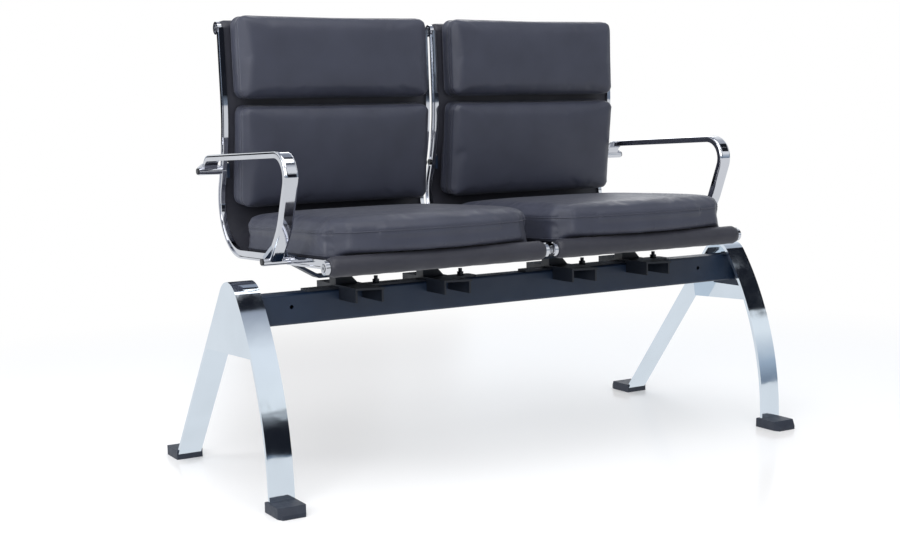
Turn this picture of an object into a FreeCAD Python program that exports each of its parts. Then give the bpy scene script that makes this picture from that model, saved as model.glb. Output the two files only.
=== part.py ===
import FreeCAD, Part
import Sketcher
import math
import os

# Two-seat beam bench. Millimetres, x along the beam, y towards the back, z up.
# The origin is on the floor, midway between the four shoes.

DOCUMENT = FreeCAD.newDocument("BeamBench")

# Driving sizes: name, value, what it sets.
SIZES = [
    ("seat_pitch", 500, "middle of one seat to middle of the other"),
    ("seat_span", 486, "seat, outside of one side rail to outside of the other"),
    ("beam_y", -92, "middle of the beam and of the leg arches"),
    ("beam_top", 378, "beam, upper face"),
    ("beam_height", 60, "beam tube, height"),
    ("beam_depth", 40, "beam tube, front to back"),
    ("beam_wall", 3, "beam tube, wall"),
    ("beam_corner", 5, "beam tube, outer corner radius"),
    ("beam_hole_x", 499, "beam, small front hole, from the middle"),
    ("beam_hole_size", 8, "beam, small front hole, diameter"),
    ("beam_hole_drop", 26, "beam, small front hole, below the upper face"),
    ("plate_thick", 5, "beam end plate, thickness"),
    ("plate_half_top", 29, "beam end plate, half width at its upper edge"),
    ("plate_half_low", 54, "beam end plate, half width at its lower edge"),
    ("plate_drop", 74, "beam end plate, height"),
    ("leg_span", 1238, "outer edge of one leg to outer edge of the other"),
    ("strap_width", 50, "leg strap, width"),
    ("strap_thick", 7, "leg strap, thickness"),
    ("arch_top", 407, "leg, top of the arch"),
    ("arch_radius", 48, "leg, outer radius at the top of the arch"),
    ("front_foot", 252, "leg, outer face of the front strap at its foot"),
    ("rear_foot", 250, "leg, outer face of the rear strap at its foot"),
    ("foot_level", 20, "leg, level at which the front strap stands upright"),
    ("strap_end", 4, "leg, lower end of the strap above the floor"),
    ("web_thick", 4, "leg web, thickness"),
    ("web_front", 275, "leg web, lower edge at the front strap"),
    ("web_rear", 265, "leg web, lower edge at the rear strap"),
    ("stud_size", 10, "leg stud, diameter"),
    ("stud_reach", 36, "leg stud, to each side of the beam's middle"),
    ("stud_end", 4, "leg stud, thread beyond its nut"),
    ("stud_drop", 52, "leg stud, below the beam's upper face"),
    ("shoe_reach", 305, "shoe, toe from the middle"),
    ("shoe_width", 56, "shoe, along the beam"),
    ("shoe_height", 20, "shoe, height"),
    ("shoe_heel", 9, "shoe, wall behind the strap"),
    ("shoe_bevel", 6, "shoe, bevel of its toe"),
    ("shoe_edge", 2, "shoe, bevel of its heel"),
    ("cut_past", 1, "cuts, how far they run past the surface"),
    ("rail_front", -247, "side rail, middle of its front boss"),
    ("rail_low", 435, "side rail, lower edge at the front boss"),
    ("rail_fall", 1.75, "side rail, fall of the seat part towards the back, degrees"),
    ("bend_start", 148, "side rail, where the bend into the back starts"),
    ("bend_radius", 110, "side rail, outer radius of the bend"),
    ("lumbar_lean", 21, "side rail, forward lean at the end of the bend, degrees"),
    ("lumbar_radius", 470, "side rail, radius of the reverse curve above the bend"),
    ("back_lean", 1.5, "side rail, backward lean of the upper part, degrees"),
    ("rail_top", 890, "side rail, middle of its top boss"),
    ("rail_thick", 9, "side rail, across"),
    ("rail_depth", 17, "side rail, from outer edge to inner edge"),
    ("rail_flange", 4, "side rail, thickness of each flange"),
    ("rail_web", 3.4, "side rail, thickness of the web between the grooves"),
    ("boss_size", 26, "side rail, boss diameter"),
    ("boss_bore", 9, "side rail, bore of each boss"),
    ("boss_recess", 17, "side rail, recess round each screw head"),
    ("recess_deep", 2.5, "side rail, depth of that recess"),
    ("rod_size", 20, "cross rod, diameter"),
    ("rod_thread", 30, "cross rod, depth of the threaded hole"),
    ("thread_spare", 4, "rod screw, its end before the end of the threaded hole"),
    ("screw_size", 8, "rod screw, diameter"),
    ("screw_head", 14, "rod screw, head diameter"),
    ("screw_head_tall", 3.5, "rod screw, head height"),
    ("sling_thick", 4, "sling, thickness"),
    ("sling_tuck", 1.8, "sling, how far each edge runs into the groove"),
    ("mount_shift", -25, "mount, middle of its two arms from the middle of the seat"),
    ("unit_reach", 97, "mount, middle of each arm from the middle of the two"),
    ("bolt_step", 64, "mount, bolt beside the middle of its arm"),
    ("block_step", -10, "mount, spacer block beside the middle of its arm"),
    ("block_wide", 34, "mount, spacer block along the beam at its top"),
    ("block_slope", 14, "mount, slope of the spacer block's inner end"),
    ("block_deep", 28, "mount, spacer block front to back"),
    ("mount_thick", 4, "mount plate, thickness"),
    ("mount_long", 380, "mount plate, along the beam"),
    ("mount_wide", 34, "mount plate, front to back"),
    ("mount_corner", 6, "mount plate, corner radius"),
    ("mount_bolt", 8, "mount bolt, diameter"),
    ("mount_flats", 13, "mount nuts, across flats"),
    ("bolt_end", 7, "mount bolt, thread beyond each nut"),
    ("saddle_wide", 54, "mount arm, along the beam"),
    ("saddle_thick", 4, "mount arm, wall"),
    ("saddle_drop", 20, "mount arm, lower edge below the beam's upper face"),
    ("saddle_front", 72, "mount arm, reach in front of the beam's face at its outer edge"),
    ("saddle_nose", 16, "mount arm, further reach of its inner corner"),
    ("saddle_inset", 5, "mount arm, its inner flange ends behind the nose"),
    ("saddle_rear", 60, "mount arm, reach behind the beam"),
    ("nut_tall", 7, "nuts, height"),
    ("nut_flats", 16, "leg nut, across flats"),
    ("hex_size", 6, "rod screw, hexagon socket across flats"),
    ("hex_deep", 2.5, "rod screw, hexagon socket depth"),
    ("boss_front_set", 2, "side rail, front boss inside the outer edge"),
    ("boss_top_set", -6, "side rail, top boss inside the outer edge"),
    ("lug_size", 18, "side rail and stretchers, eye round each arm bolt"),
    ("arm_front", -85, "arm bolt at the seat, from the middle of the bench"),
    ("arm_rear_level", 600, "arm bolt at the back, above the floor"),
    ("arm_bolt", 8, "arm bolt, diameter"),
    ("cap_size", 13, "arm bolt, diameter of its cap"),
    ("cap_tall", 3, "arm bolt, height of its cap"),
    ("bar_wide", 30, "stretcher, width of the flat bar"),
    ("bar_thick", 6, "stretcher, thickness of the flat bar"),
    ("stretcher_level", 401, "seat stretcher, underside of its level run"),
    ("stretcher_run", 50, "seat stretcher, length of each sloping end"),
    ("back_bar_set", 14, "back stretcher, rear face behind the bolt"),
    ("arm_width", 28, "armrest, width of the band"),
    ("arm_thick", 13, "armrest, thickness of the band"),
    ("arm_top", 647, "armrest, upper face"),
    ("arm_fall", 2.2, "armrest, fall of the bar towards the back, degrees"),
    ("arm_edge", 5, "armrest, rounding of its outer edges"),
    ("arm_flare", 38, "armrest, height of the flare at its foot"),
    ("arm_rear_flare", 16, "armrest, height of the flare at its rear end"),
    ("arm_foot_angle", 131, "armrest, direction of its foot, degrees from level"),
    ("arm_leg_angle", 112, "armrest, direction of its front leg, degrees from level"),
    ("arm_foot_run", 55, "armrest, straight run at the foot"),
    ("arm_leg_radius", 150, "armrest, bend between foot and leg"),
    ("arm_corner", 42, "armrest, corner radius on the middle line"),
    ("arm_rear_corner", 24, "armrest, rear bend on the middle line"),
    ("barrel_size", 16, "armrest, barrel diameter"),
    ("barrel_long", 50, "armrest, barrel length"),
    ("pad_draw", 8, "pads, how far the sides are drawn in"),
    ("pad_crown", 7, "pads, rise of the crown"),
    ("pad_side_drop", 0.6, "pads, share of the crown that runs right across the width"),
    ("pad_lift", 4, "pads, how far the base ends inside the bowed ends"),
    ("pad_round", 10, "pads, rounding of the face edges"),
    ("pad_round_radius", 10.2, "pads, radius of that rounding"),
    ("pad_step_start", 7, "seat pad, its base starts down behind the front rod's middle"),
    ("pad_step_end", 25, "seat pad, its base reaches the sling behind the front rod's middle"),
    ("back_crown_radius", 600, "back pads, radius of the crowned face"),
    ("seat_crown_radius", 2600, "seat pad, radius of the crowned face"),
    ("end_radius", 90, "pads, radius of the bowed ends"),
    ("seat_pad_front", -272, "seat pad, front"),
    ("seat_pad_rear", 182, "seat pad, rear"),
    ("seat_pad_thick", 70, "seat pad, thickness at the middle"),
    ("seat_pad_clear", 9, "seat pad, clear of each side rail"),
    ("seat_pad_bow", 16, "seat pad, bow of the front"),
    ("back_pad_thick", 54, "back pads, thickness at the middle"),
    ("back_pad_clear", 13, "back pads, clear of each side rail"),
    ("head_pad_low", 752, "head pad, lower end"),
    ("head_pad_high", 910, "head pad, upper end"),
    ("lumbar_pad_low", 527, "lumbar pad, lower end"),
    ("lumbar_pad_high", 734, "lumbar pad, upper end"),
    ("lumbar_pad_lean", 6, "lumbar pad, forward lean, degrees"),
    ("seat_pad_lift", 46, "seat pad, how far its base ends before its rear end"),
    ("lumbar_pad_lift", 12, "lumbar pad, how far its base ends above its lower end"),
    ("front_roll", 39, "sling, roll round the front rod"),
    ("top_roll", 32, "sling, roll round the top rod"),
    ("soft_gap", 0.3, "clearance round every soft piece"),
    ("fit_gap", 0.2, "clearance of pieces that slip into each other"),
]

VALUES = {}
TINY = 0.001


def make_sheet():
    sheet = DOCUMENT.addObject("Spreadsheet::Sheet", "Sizes")
    for row, (name, value, note) in enumerate(SIZES, start=1):
        sheet.set("A%d" % row, note)
        sheet.set("B%d" % row, str(value))
        sheet.setAlias("B%d" % row, name)
    DOCUMENT.recompute()
    for name, value, note in SIZES:
        VALUES[name] = float(sheet.get(name))


class Size:
    # A length with its value and the expression that binds it to the sheet.
    def __init__(self, value, text):
        self.value = value
        self.text = text

    def __add__(self, other):
        other = as_size(other)
        return Size(self.value + other.value, "(%s + %s)" % (self.text, other.text))

    def __sub__(self, other):
        other = as_size(other)
        return Size(self.value - other.value, "(%s - %s)" % (self.text, other.text))

    def __mul__(self, other):
        other = as_size(other)
        return Size(self.value * other.value, "(%s * %s)" % (self.text, other.text))

    def __truediv__(self, other):
        other = as_size(other)
        return Size(self.value / other.value, "(%s / %s)" % (self.text, other.text))

    def __neg__(self):
        return Size(-self.value, "(0 - %s)" % self.text)

    __radd__ = __add__

    def __rsub__(self, other):
        return as_size(other) - self

    def __rmul__(self, other):
        return self * other


def as_size(number):
    if isinstance(number, Size):
        return number
    return Size(float(number), "%.9g" % number)


def size(name):
    return Size(VALUES[name], "Sizes.%s" % name)


def sine(angle):
    return Size(math.sin(math.radians(angle.value)), "sin(%s)" % angle.text)


def cosine(angle):
    return Size(math.cos(math.radians(angle.value)), "cos(%s)" % angle.text)


def root(number):
    return Size(math.sqrt(number.value), "sqrt(%s)" % number.text)


def new_body(name, x=0):
    body = DOCUMENT.addObject("PartDesign::Body", name)
    body.Label = name
    body.setExpression("Placement.Base.x", as_size(x).text)
    PARTS.append(body)
    return body


def new_sketch(body, plane, offset=0):
    sketch = body.newObject("Sketcher::SketchObject", body.Name + "_sketch")
    face = [item for item in body.Origin.OriginFeatures if item.Role == plane][0]
    sketch.AttachmentSupport = [(face, "")]
    sketch.MapMode = "FlatFace"
    sketch.setExpression("AttachmentOffset.Base.z", as_size(offset).text)
    return sketch


def bind(sketch, kind, *where):
    # Adds one dimension whose last item is a Size and ties it to the sheet.
    amount = as_size(where[-1])
    index = sketch.addConstraint(Sketcher.Constraint(kind, *where[:-1], amount.value))
    sketch.setExpression("Constraints[%d]" % index, amount.text)


def pin(sketch, edge, end, point):
    # Ties one end of an edge to its place from the sketch's origin.
    bind(sketch, "DistanceX", -1, 1, edge, end, point[0])
    bind(sketch, "DistanceY", -1, 1, edge, end, point[1])


def vector(point):
    return FreeCAD.Vector(as_size(point[0]).value, as_size(point[1]).value, 0)


def add_outline(sketch, corners):
    # A closed outline. Each corner is (across, up) or (across, up, radius, side):
    # with a radius the edge that leaves it is an arc, bulging left (1) or right (-1).
    first = sketch.GeometryCount
    count = len(corners)
    for index, corner in enumerate(corners):
        start = vector(corner)
        finish = vector(corners[(index + 1) % count])
        if len(corner) == 2:
            sketch.addGeometry(Part.LineSegment(start, finish), False)
            continue
        radius = as_size(corner[2]).value
        chord = finish - start
        normal = FreeCAD.Vector(-chord.y, chord.x, 0).normalize() * corner[3]
        rise = radius - math.sqrt(radius ** 2 - chord.Length ** 2 / 4)
        middle = (start + finish) / 2 + normal * rise
        arc = Part.Arc(start, middle, finish)
        sketch.addGeometry(arc, False)
    for index, corner in enumerate(corners):
        edge = first + index
        following = first + (index + 1) % count
        arc_flips = len(corner) > 2 and corner[3] > 0
        tail = 1 if arc_flips else 2
        after = corners[(index + 1) % count]
        head = 2 if len(after) > 2 and after[3] > 0 else 1
        sketch.addConstraint(Sketcher.Constraint("Coincident", edge, tail, following, head))
        pin(sketch, edge, 2 if arc_flips else 1, corner)
        if len(corner) > 2:
            bind(sketch, "Radius", edge, corner[2])


def add_circle(sketch, centre, diameter):
    circle = Part.Circle(vector(centre), FreeCAD.Vector(0, 0, 1), as_size(diameter).value / 2)
    edge = sketch.addGeometry(circle, False)
    bind(sketch, "DistanceX", -1, 1, edge, 3, centre[0])
    bind(sketch, "DistanceY", -1, 1, edge, 3, centre[1])
    bind(sketch, "Radius", edge, as_size(diameter) / 2)


def rectangle(low, high):
    return [low, (high[0], low[1]), high, (low[0], high[1])]


def rounded(low, high, radius):
    # A rectangle with round corners, drawn as the outline of eight edges.
    left, bottom = low
    right, top = high
    return [(left + radius, bottom), (right - radius, bottom, radius, -1),
            (right, bottom + radius), (right, top - radius, radius, -1),
            (right - radius, top), (left + radius, top, radius, -1),
            (left, top - radius), (left, bottom + radius, radius, -1)]


def pad(body, sketch, length, symmetric=False, flip=False):
    feature = body.newObject("PartDesign::Pad", body.Name + "_pad")
    feature.Profile = sketch
    feature.SideType = "Symmetric" if symmetric else "One side"
    feature.Reversed = flip
    feature.setExpression("Length", as_size(length).text)
    return feature


def pocket(body, sketch, length, symmetric=False, flip=False):
    DOCUMENT.recompute()
    before = body.Shape.Volume
    feature = body.newObject("PartDesign::Pocket", body.Name + "_pocket")
    feature.Profile = sketch
    feature.SideType = "Symmetric" if symmetric else "One side"
    feature.Reversed = flip
    feature.setExpression("Length", as_size(length).text)
    DOCUMENT.recompute()
    if body.Shape.Volume >= before:
        raise RuntimeError(body.Label + ": a pocket cuts nothing")
    return feature


PARTS = []


# Beam and legs

def build_beam():
    length = size("leg_span") - 2 * (size("web_thick") + size("plate_thick"))
    low = (size("beam_y") - size("beam_depth") / 2, size("beam_top") - size("beam_height"))
    high = (size("beam_y") + size("beam_depth") / 2, size("beam_top"))
    wall = size("beam_wall")
    body = new_body("beam")
    sketch = new_sketch(body, "YZ_Plane")
    add_outline(sketch, rounded(low, high, size("beam_corner")))
    add_outline(sketch, rounded((low[0] + wall, low[1] + wall), (high[0] - wall, high[1] - wall),
                                size("beam_corner") - wall))
    pad(body, sketch, length, symmetric=True)
    sketch = new_sketch(body, "XZ_Plane", -low[0])
    for side in (-1, 1):
        add_circle(sketch, (side * size("beam_hole_x"), size("beam_top") - size("beam_hole_drop")),
                   size("beam_hole_size"))
    pocket(body, sketch, wall * 2)
    sketch = new_sketch(body, "XY_Plane", size("beam_top"))
    for seat in (-1, 1):
        for unit in (-1, 1):
            across = seat * size("seat_pitch") / 2 + bolt_place(unit)
            add_circle(sketch, (across, size("beam_y")), size("mount_bolt") + size("fit_gap"))
    pocket(body, sketch, wall * 2)


def leg_points(inset):
    # The leg's side view on a line inside its outer face by the inset: the front run is one
    # large arc that stands upright at the foot, the rear run is straight, both tangent to the
    # arch. Gives both arcs' centres, the large radius, both tangent points and the rear normal.
    middle = size("beam_y")
    level = size("foot_level")
    reach = size("arch_radius")
    rise = size("arch_top") - reach - level
    inward = middle + size("front_foot")
    big = (inward * inward + rise * rise - reach * reach) / (2 * (inward - reach))
    centre = (middle, level + rise)
    big_centre = (-size("front_foot") + big, level)
    along = ((centre[0] - big_centre[0]) / (big - reach), (centre[1] - big_centre[1]) / (big - reach))
    front = (big_centre[0] + along[0] * (big - inset), big_centre[1] + along[1] * (big - inset))
    run = size("rear_foot") - middle
    drop = centre[1]
    long = root(run * run + drop * drop)
    rest = root(run * run + drop * drop - reach * reach)
    normal = ((reach * run + rest * drop) / (long * long), (rest * run - reach * drop) / (long * long))
    rear = (centre[0] + normal[0] * (reach - inset), centre[1] + normal[1] * (reach - inset))
    return big_centre, big, centre, front, rear, normal


def on_front(level, inset):
    big_centre, big, centre, front, rear, normal = leg_points(inset)
    rise = level - big_centre[1]
    return (big_centre[0] - root((big - inset) * (big - inset) - rise * rise), level)


def on_rear(level, inset):
    big_centre, big, centre, front, rear, normal = leg_points(inset)
    return (rear[0] + (rear[1] - level) * normal[1] / normal[0], level)


def build_leg(side, label):
    outer = side * size("leg_span") / 2
    start = outer if side < 0 else outer - size("strap_width")
    thick = size("strap_thick")
    arch = size("arch_radius")
    low = size("strap_end")
    big = leg_points(0)[1]
    body = new_body("leg_strap_" + label)
    sketch = new_sketch(body, "YZ_Plane", start)
    upper_front, upper_rear = leg_points(0)[3:5]
    inner_front, inner_rear = leg_points(thick)[3:5]
    add_outline(sketch, [
        (*on_front(low, 0), big, 1), (*upper_front, arch, 1), upper_rear, on_rear(low, 0),
        on_rear(low, thick), (*inner_rear, arch - thick, -1), (*inner_front, big - thick, -1),
        on_front(low, thick)])
    pad(body, sketch, size("strap_width"))

    web = new_body("leg_web_" + label)
    web_start = outer if side < 0 else outer - size("web_thick")
    sketch = new_sketch(web, "YZ_Plane", web_start)
    add_outline(sketch, [
        (*on_front(size("web_front"), thick), big - thick, 1), (*inner_front, arch - thick, 1),
        inner_rear, on_rear(size("web_rear"), thick)])
    pad(web, sketch, size("web_thick"))


def build_end_plate(side, label):
    outer = side * (size("leg_span") / 2 - size("web_thick"))
    start = outer if side < 0 else outer - size("plate_thick")
    middle = size("beam_y")
    top = size("beam_top")
    low = top - size("plate_drop")
    body = new_body("beam_end_plate_" + label)
    sketch = new_sketch(body, "YZ_Plane", start)
    add_outline(sketch, [(middle - size("plate_half_low"), low), (middle + size("plate_half_low"), low),
                         (middle + size("plate_half_top"), top), (middle - size("plate_half_top"), top)])
    for way in (-1, 1):
        add_circle(sketch, (middle + way * size("stud_reach"), top - size("stud_drop")),
                   size("stud_size") + 2 * size("fit_gap"))
    pad(body, sketch, size("plate_thick"))


def add_boss(body, centre, diameter, start, length):
    # A cylinder along the beam, added to the body.
    sketch = new_sketch(body, "YZ_Plane", start)
    add_circle(sketch, centre, diameter)
    pad(body, sketch, length)


def bore(body, centre, diameter, start, length):
    # A round hole along the beam, cut into the body.
    sketch = new_sketch(body, "YZ_Plane", start + length)
    add_circle(sketch, centre, diameter)
    pocket(body, sketch, length)


def hexagon(centre, across_flats):
    reach = across_flats / 2
    slant = reach * (2 / math.sqrt(3))
    half = reach * (1 / math.sqrt(3))
    across, up = centre
    return [(across - half, up - reach), (across + half, up - reach), (across + slant, up),
            (across + half, up + reach), (across - half, up + reach), (across - slant, up)]


def gather(name, pieces):
    # Several separate solids of one kind, kept together under one name.
    group = DOCUMENT.addObject("Part::Compound", name)
    group.Label = name
    group.Links = pieces
    for piece in pieces:
        PARTS.remove(piece)
    PARTS.append(group)
    return group


def build_leg_fixings(side, label):
    # Studs that stand on the web and the nuts that clamp the beam's end plate to it.
    web_face = side * (size("leg_span") / 2 - size("web_thick"))
    plate_face = web_face - side * size("plate_thick")
    pieces = []
    for way in (-1, 1):
        centre = (size("beam_y") + way * size("stud_reach"), size("beam_top") - size("stud_drop"))
        reach = size("plate_thick") + size("nut_tall") + size("stud_end")
        stud = new_body("stud_%s_%d" % (label, way + 2))
        add_boss(stud, centre, size("stud_size"), web_face - reach if side > 0 else web_face, reach)
        nut = new_body("nut_%s_%d" % (label, way + 2))
        nut_start = plate_face - size("nut_tall") if side > 0 else plate_face
        sketch = new_sketch(nut, "YZ_Plane", nut_start)
        add_outline(sketch, hexagon(centre, size("nut_flats")))
        add_circle(sketch, centre, size("stud_size"))
        pad(nut, sketch, size("nut_tall"))
        pieces += [stud, nut]
    gather("leg_fixings_" + label, pieces)


def build_shoe(end, side, label):
    # A wedge that the strap stands in, with its long toe pointing away from the bench.
    middle = side * (size("leg_span") - size("strap_width")) / 2
    thick = size("strap_thick")
    top = size("shoe_height")
    low = size("strap_end")
    foot = on_front if end < 0 else on_rear
    heel = foot(as_size(0), thick)[0] - end * size("shoe_heel")
    edge = size("shoe_edge")
    toe = end * size("shoe_reach")
    body = new_body("shoe_%s_%s" % ("front" if end < 0 else "rear", label))
    sketch = new_sketch(body, "YZ_Plane", middle - size("shoe_width") / 2)
    bevel = size("shoe_bevel")
    add_outline(sketch, [(toe, 0), (toe, top - 2 * bevel), (toe - end * 2 * bevel, top),
                         (heel + end * edge, top), (heel, top - edge), (heel, 0)])
    pad(body, sketch, size("shoe_width"))
    # Slot for the strap, open at the top.
    slip = size("fit_gap")
    sketch = new_sketch(body, "YZ_Plane", middle - size("strap_width") / 2 - slip)
    above = top + size("cut_past")
    outer_low = foot(low, 0)
    inner_low = foot(low, thick)
    outer_top = foot(above, 0)
    inner_top = foot(above, thick)
    add_outline(sketch, [(outer_low[0] + end * slip, low), (outer_top[0] + end * slip, above),
                         (inner_top[0] - end * slip, above), (inner_low[0] - end * slip, low)])
    pocket(body, sketch, size("strap_width") + 2 * slip, flip=True)
    # Bevels down both sides of the toe.
    for way in (-1, 1):
        sketch = new_sketch(body, "XY_Plane", top)
        edge = middle + way * size("shoe_width") / 2
        add_outline(sketch, [(edge, toe), (edge, toe - end * 2 * bevel), (edge - way * bevel, toe)])
        pocket(body, sketch, top)
    return body


# Seat frames

def rail_corners(offset):
    # Corner points of the rail's side view, on a line inside its outer edge by the offset:
    # front end, bend start, bend end, start of the straight back, top end.
    fall = size("rail_fall")
    bend = size("bend_radius")
    lean = size("lumbar_lean")
    reverse = size("lumbar_radius")
    back = size("back_lean")
    along = (cosine(fall), -sine(fall))
    inward = (sine(fall), cosine(fall))
    front = (size("rail_front"), size("rail_low"))
    reach = size("bend_start") - size("rail_front")
    start = (size("bend_start"), size("rail_low") + along[1] / along[0] * reach)
    centre = (start[0] + inward[0] * bend, start[1] + inward[1] * bend)
    spoke = (cosine(lean), sine(lean))
    turn = (centre[0] + spoke[0] * bend, centre[1] + spoke[1] * bend)
    reverse_centre = (turn[0] + spoke[0] * reverse, turn[1] + spoke[1] * reverse)
    upper = (-cosine(back), sine(back))
    rise = (reverse_centre[0] + upper[0] * reverse, reverse_centre[1] + upper[1] * reverse)
    climb = size("rail_top") - rise[1]
    top = (rise[0] + climb * sine(back) / cosine(back), size("rail_top"))
    return [
        (front[0] + inward[0] * offset, front[1] + inward[1] * offset),
        (start[0] + inward[0] * offset, start[1] + inward[1] * offset),
        (turn[0] - spoke[0] * offset, turn[1] - spoke[1] * offset),
        (rise[0] + upper[0] * offset, rise[1] + upper[1] * offset),
        (top[0] + upper[0] * offset, top[1] + upper[1] * offset),
    ]


def band_outline(near, far):
    # The closed side view of a band that follows the rail between two offsets.
    bend = size("bend_radius")
    reverse = size("lumbar_radius")
    a = rail_corners(near)
    b = rail_corners(far)
    return [a[0], (*a[1], bend - near, -1), (*a[2], reverse + near, 1), a[3], a[4],
            b[4], (*b[3], reverse + far, -1), (*b[2], bend - far, 1), b[1], b[0]]


def rail_end(top):
    # Middle of the boss at the front or at the top of the rail, over the rail's groove.
    if top:
        return rail_corners(size("boss_top_set"))[4]
    return rail_corners(size("boss_front_set"))[0]


def build_rail(seat, side, label):
    centre = seat * size("seat_pitch") / 2
    outer = side * size("seat_span") / 2
    start = outer if side < 0 else outer - size("rail_thick")
    depth = size("rail_depth")
    flange = size("rail_flange")
    body = new_body("side_rail_" + label, centre)
    sketch = new_sketch(body, "YZ_Plane", start)
    add_outline(sketch, band_outline(as_size(0), flange))
    pad(body, sketch, size("rail_thick"))
    sketch = new_sketch(body, "YZ_Plane", start)
    add_outline(sketch, band_outline(depth - flange, depth))
    pad(body, sketch, size("rail_thick"))
    sketch = new_sketch(body, "YZ_Plane", start + (size("rail_thick") - size("rail_web")) / 2)
    add_outline(sketch, band_outline(flange / 2, depth - flange / 2))
    pad(body, sketch, size("rail_web"))
    recess_start = start if side < 0 else outer - size("recess_deep")
    for place in (rail_end(False), rail_end(True)):
        add_boss(body, place, size("boss_size"), start, size("rail_thick"))
    for place in (rail_end(False), rail_end(True)):
        bore(body, place, size("boss_bore"), start, size("rail_thick"))
        bore(body, place, size("boss_recess"), recess_start, size("recess_deep"))
    for place in (arm_bolt_front(), arm_bolt_rear()):
        add_boss(body, place, size("lug_size"), start, size("rail_thick"))
        bore(body, place, size("arm_bolt") + size("fit_gap"), start, size("rail_thick"))
    return body


def inner_span():
    return size("seat_span") - 2 * size("rail_thick")


def build_rods(seat, label):
    centre = seat * size("seat_pitch") / 2
    for top, name in ((False, "front_rod_"), (True, "top_rod_")):
        body = new_body(name + label, centre)
        add_boss(body, rail_end(top), size("rod_size"), -inner_span() / 2, inner_span())
        for start in (-inner_span() / 2, inner_span() / 2 - size("rod_thread")):
            bore(body, rail_end(top), size("screw_size") + size("fit_gap"), start, size("rod_thread"))


def build_rod_screws(seat, label):
    pieces = []
    centre = seat * size("seat_pitch") / 2
    for side in (-1, 1):
        for top in (False, True):
            name = "rod_screw_%s_%d_%d" % (label, side + 1, top)
            seat_face = side * (size("seat_span") / 2 - size("recess_deep"))
            shank = size("rail_thick") - size("recess_deep") + size("rod_thread") - size("thread_spare")
            body = new_body(name, centre)
            shank_start = seat_face if side < 0 else seat_face - shank
            add_boss(body, rail_end(top), size("screw_size"), shank_start, shank)
            head_start = seat_face if side > 0 else seat_face - size("screw_head_tall")
            add_boss(body, rail_end(top), size("screw_head"), head_start, size("screw_head_tall"))
            mouth = head_start + size("hex_deep") if side < 0 else head_start + size("screw_head_tall")
            sketch = new_sketch(body, "YZ_Plane", mouth)
            add_outline(sketch, hexagon(rail_end(top), size("hex_size")))
            pocket(body, sketch, size("hex_deep"))
            pieces.append(body)
    gather("rod_screws_" + label, pieces)


def arm_bolt_front():
    front = rail_corners(size("rail_depth") / 2)[0]
    fall = size("rail_fall")
    back = size("arm_front") - front[0]
    return (size("arm_front"), front[1] - sine(fall) / cosine(fall) * back)


def lumbar_centre():
    lean = size("lumbar_lean")
    turn = rail_corners(as_size(0))[2]
    reverse = size("lumbar_radius")
    return (turn[0] + cosine(lean) * reverse, turn[1] + sine(lean) * reverse)


def on_lumbar(level, offset):
    # The point of the reverse curve above the bend at a level, inside the outer edge by the offset.
    centre = lumbar_centre()
    reach = size("lumbar_radius") + offset
    rise = level - centre[1]
    return (centre[0] - root(reach * reach - rise * rise), level)


def arm_bolt_rear():
    return on_lumbar(size("arm_rear_level"), size("rail_depth") / 2)


def build_stretchers(seat, label):
    # Seat stretcher under the sling and back stretcher behind it, each a bent flat bar with
    # an upright lug at both ends that the arm bolts screw into.
    centre = seat * size("seat_pitch") / 2
    thick = size("bar_thick")
    half = inner_span() / 2
    bolt = arm_bolt_front()
    wide = size("bar_wide")
    body = new_body("seat_stretcher_" + label, centre)
    sketch = new_sketch(body, "XZ_Plane", -(bolt[0] - wide / 2))
    level = size("stretcher_level")
    lug_top = bolt[1] + size("lug_size") / 2
    lug_low = bolt[1] - size("lug_size") / 2
    run = size("stretcher_run")
    add_outline(sketch, [
        (-half, lug_top), (-half, lug_low), (-half + run, level), (half - run, level), (half, lug_low),
        (half, lug_top), (half - thick, lug_top), (half - thick, lug_low + thick / 2),
        (half - run - thick / 3, level + thick), (-half + run + thick / 3, level + thick),
        (-half + thick, lug_low + thick / 2), (-half + thick, lug_top)])
    pad(body, sketch, wide, flip=True)
    for start in (-half, half - thick):
        bore(body, bolt, size("arm_bolt") + size("fit_gap"), start, thick)

    bolt = arm_bolt_rear()
    body = new_body("back_stretcher_" + label, centre)
    sketch = new_sketch(body, "XY_Plane", bolt[1] - wide / 2)
    rear = bolt[0] + size("back_bar_set")
    front = bolt[0] - size("lug_size") / 2
    add_outline(sketch, [
        (-half, front), (-half + thick, front), (-half + thick, rear - thick), (half - thick, rear - thick),
        (half - thick, front), (half, front), (half, rear), (-half, rear)])
    pad(body, sketch, wide)
    for start in (-half, half - thick):
        bore(body, bolt, size("arm_bolt") + size("fit_gap"), start, thick)


def build_arm_bolts(seat, label):
    # Bolts through both side rails: long ones at the arm's side, short ones at the other.
    pieces = []
    centre = seat * size("seat_pitch") / 2
    half = size("seat_span") / 2
    for side in (-1, 1):
        armed = side == seat
        for number, place in enumerate((arm_bolt_front(), arm_bolt_rear())):
            inner = half - size("rail_thick") - size("bar_thick")
            outer = half + size("barrel_long") if armed else half
            body = new_body("arm_bolt_%s_%d_%d" % (label, side + 1, number), centre)
            add_boss(body, place, size("arm_bolt"), inner if side > 0 else -outer, outer - inner)
            head = size("cap_tall")
            add_boss(body, place, size("cap_size"), outer if side > 0 else -outer - head, head)
            pieces.append(body)
    gather("arm_bolts_" + label, pieces)


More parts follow.
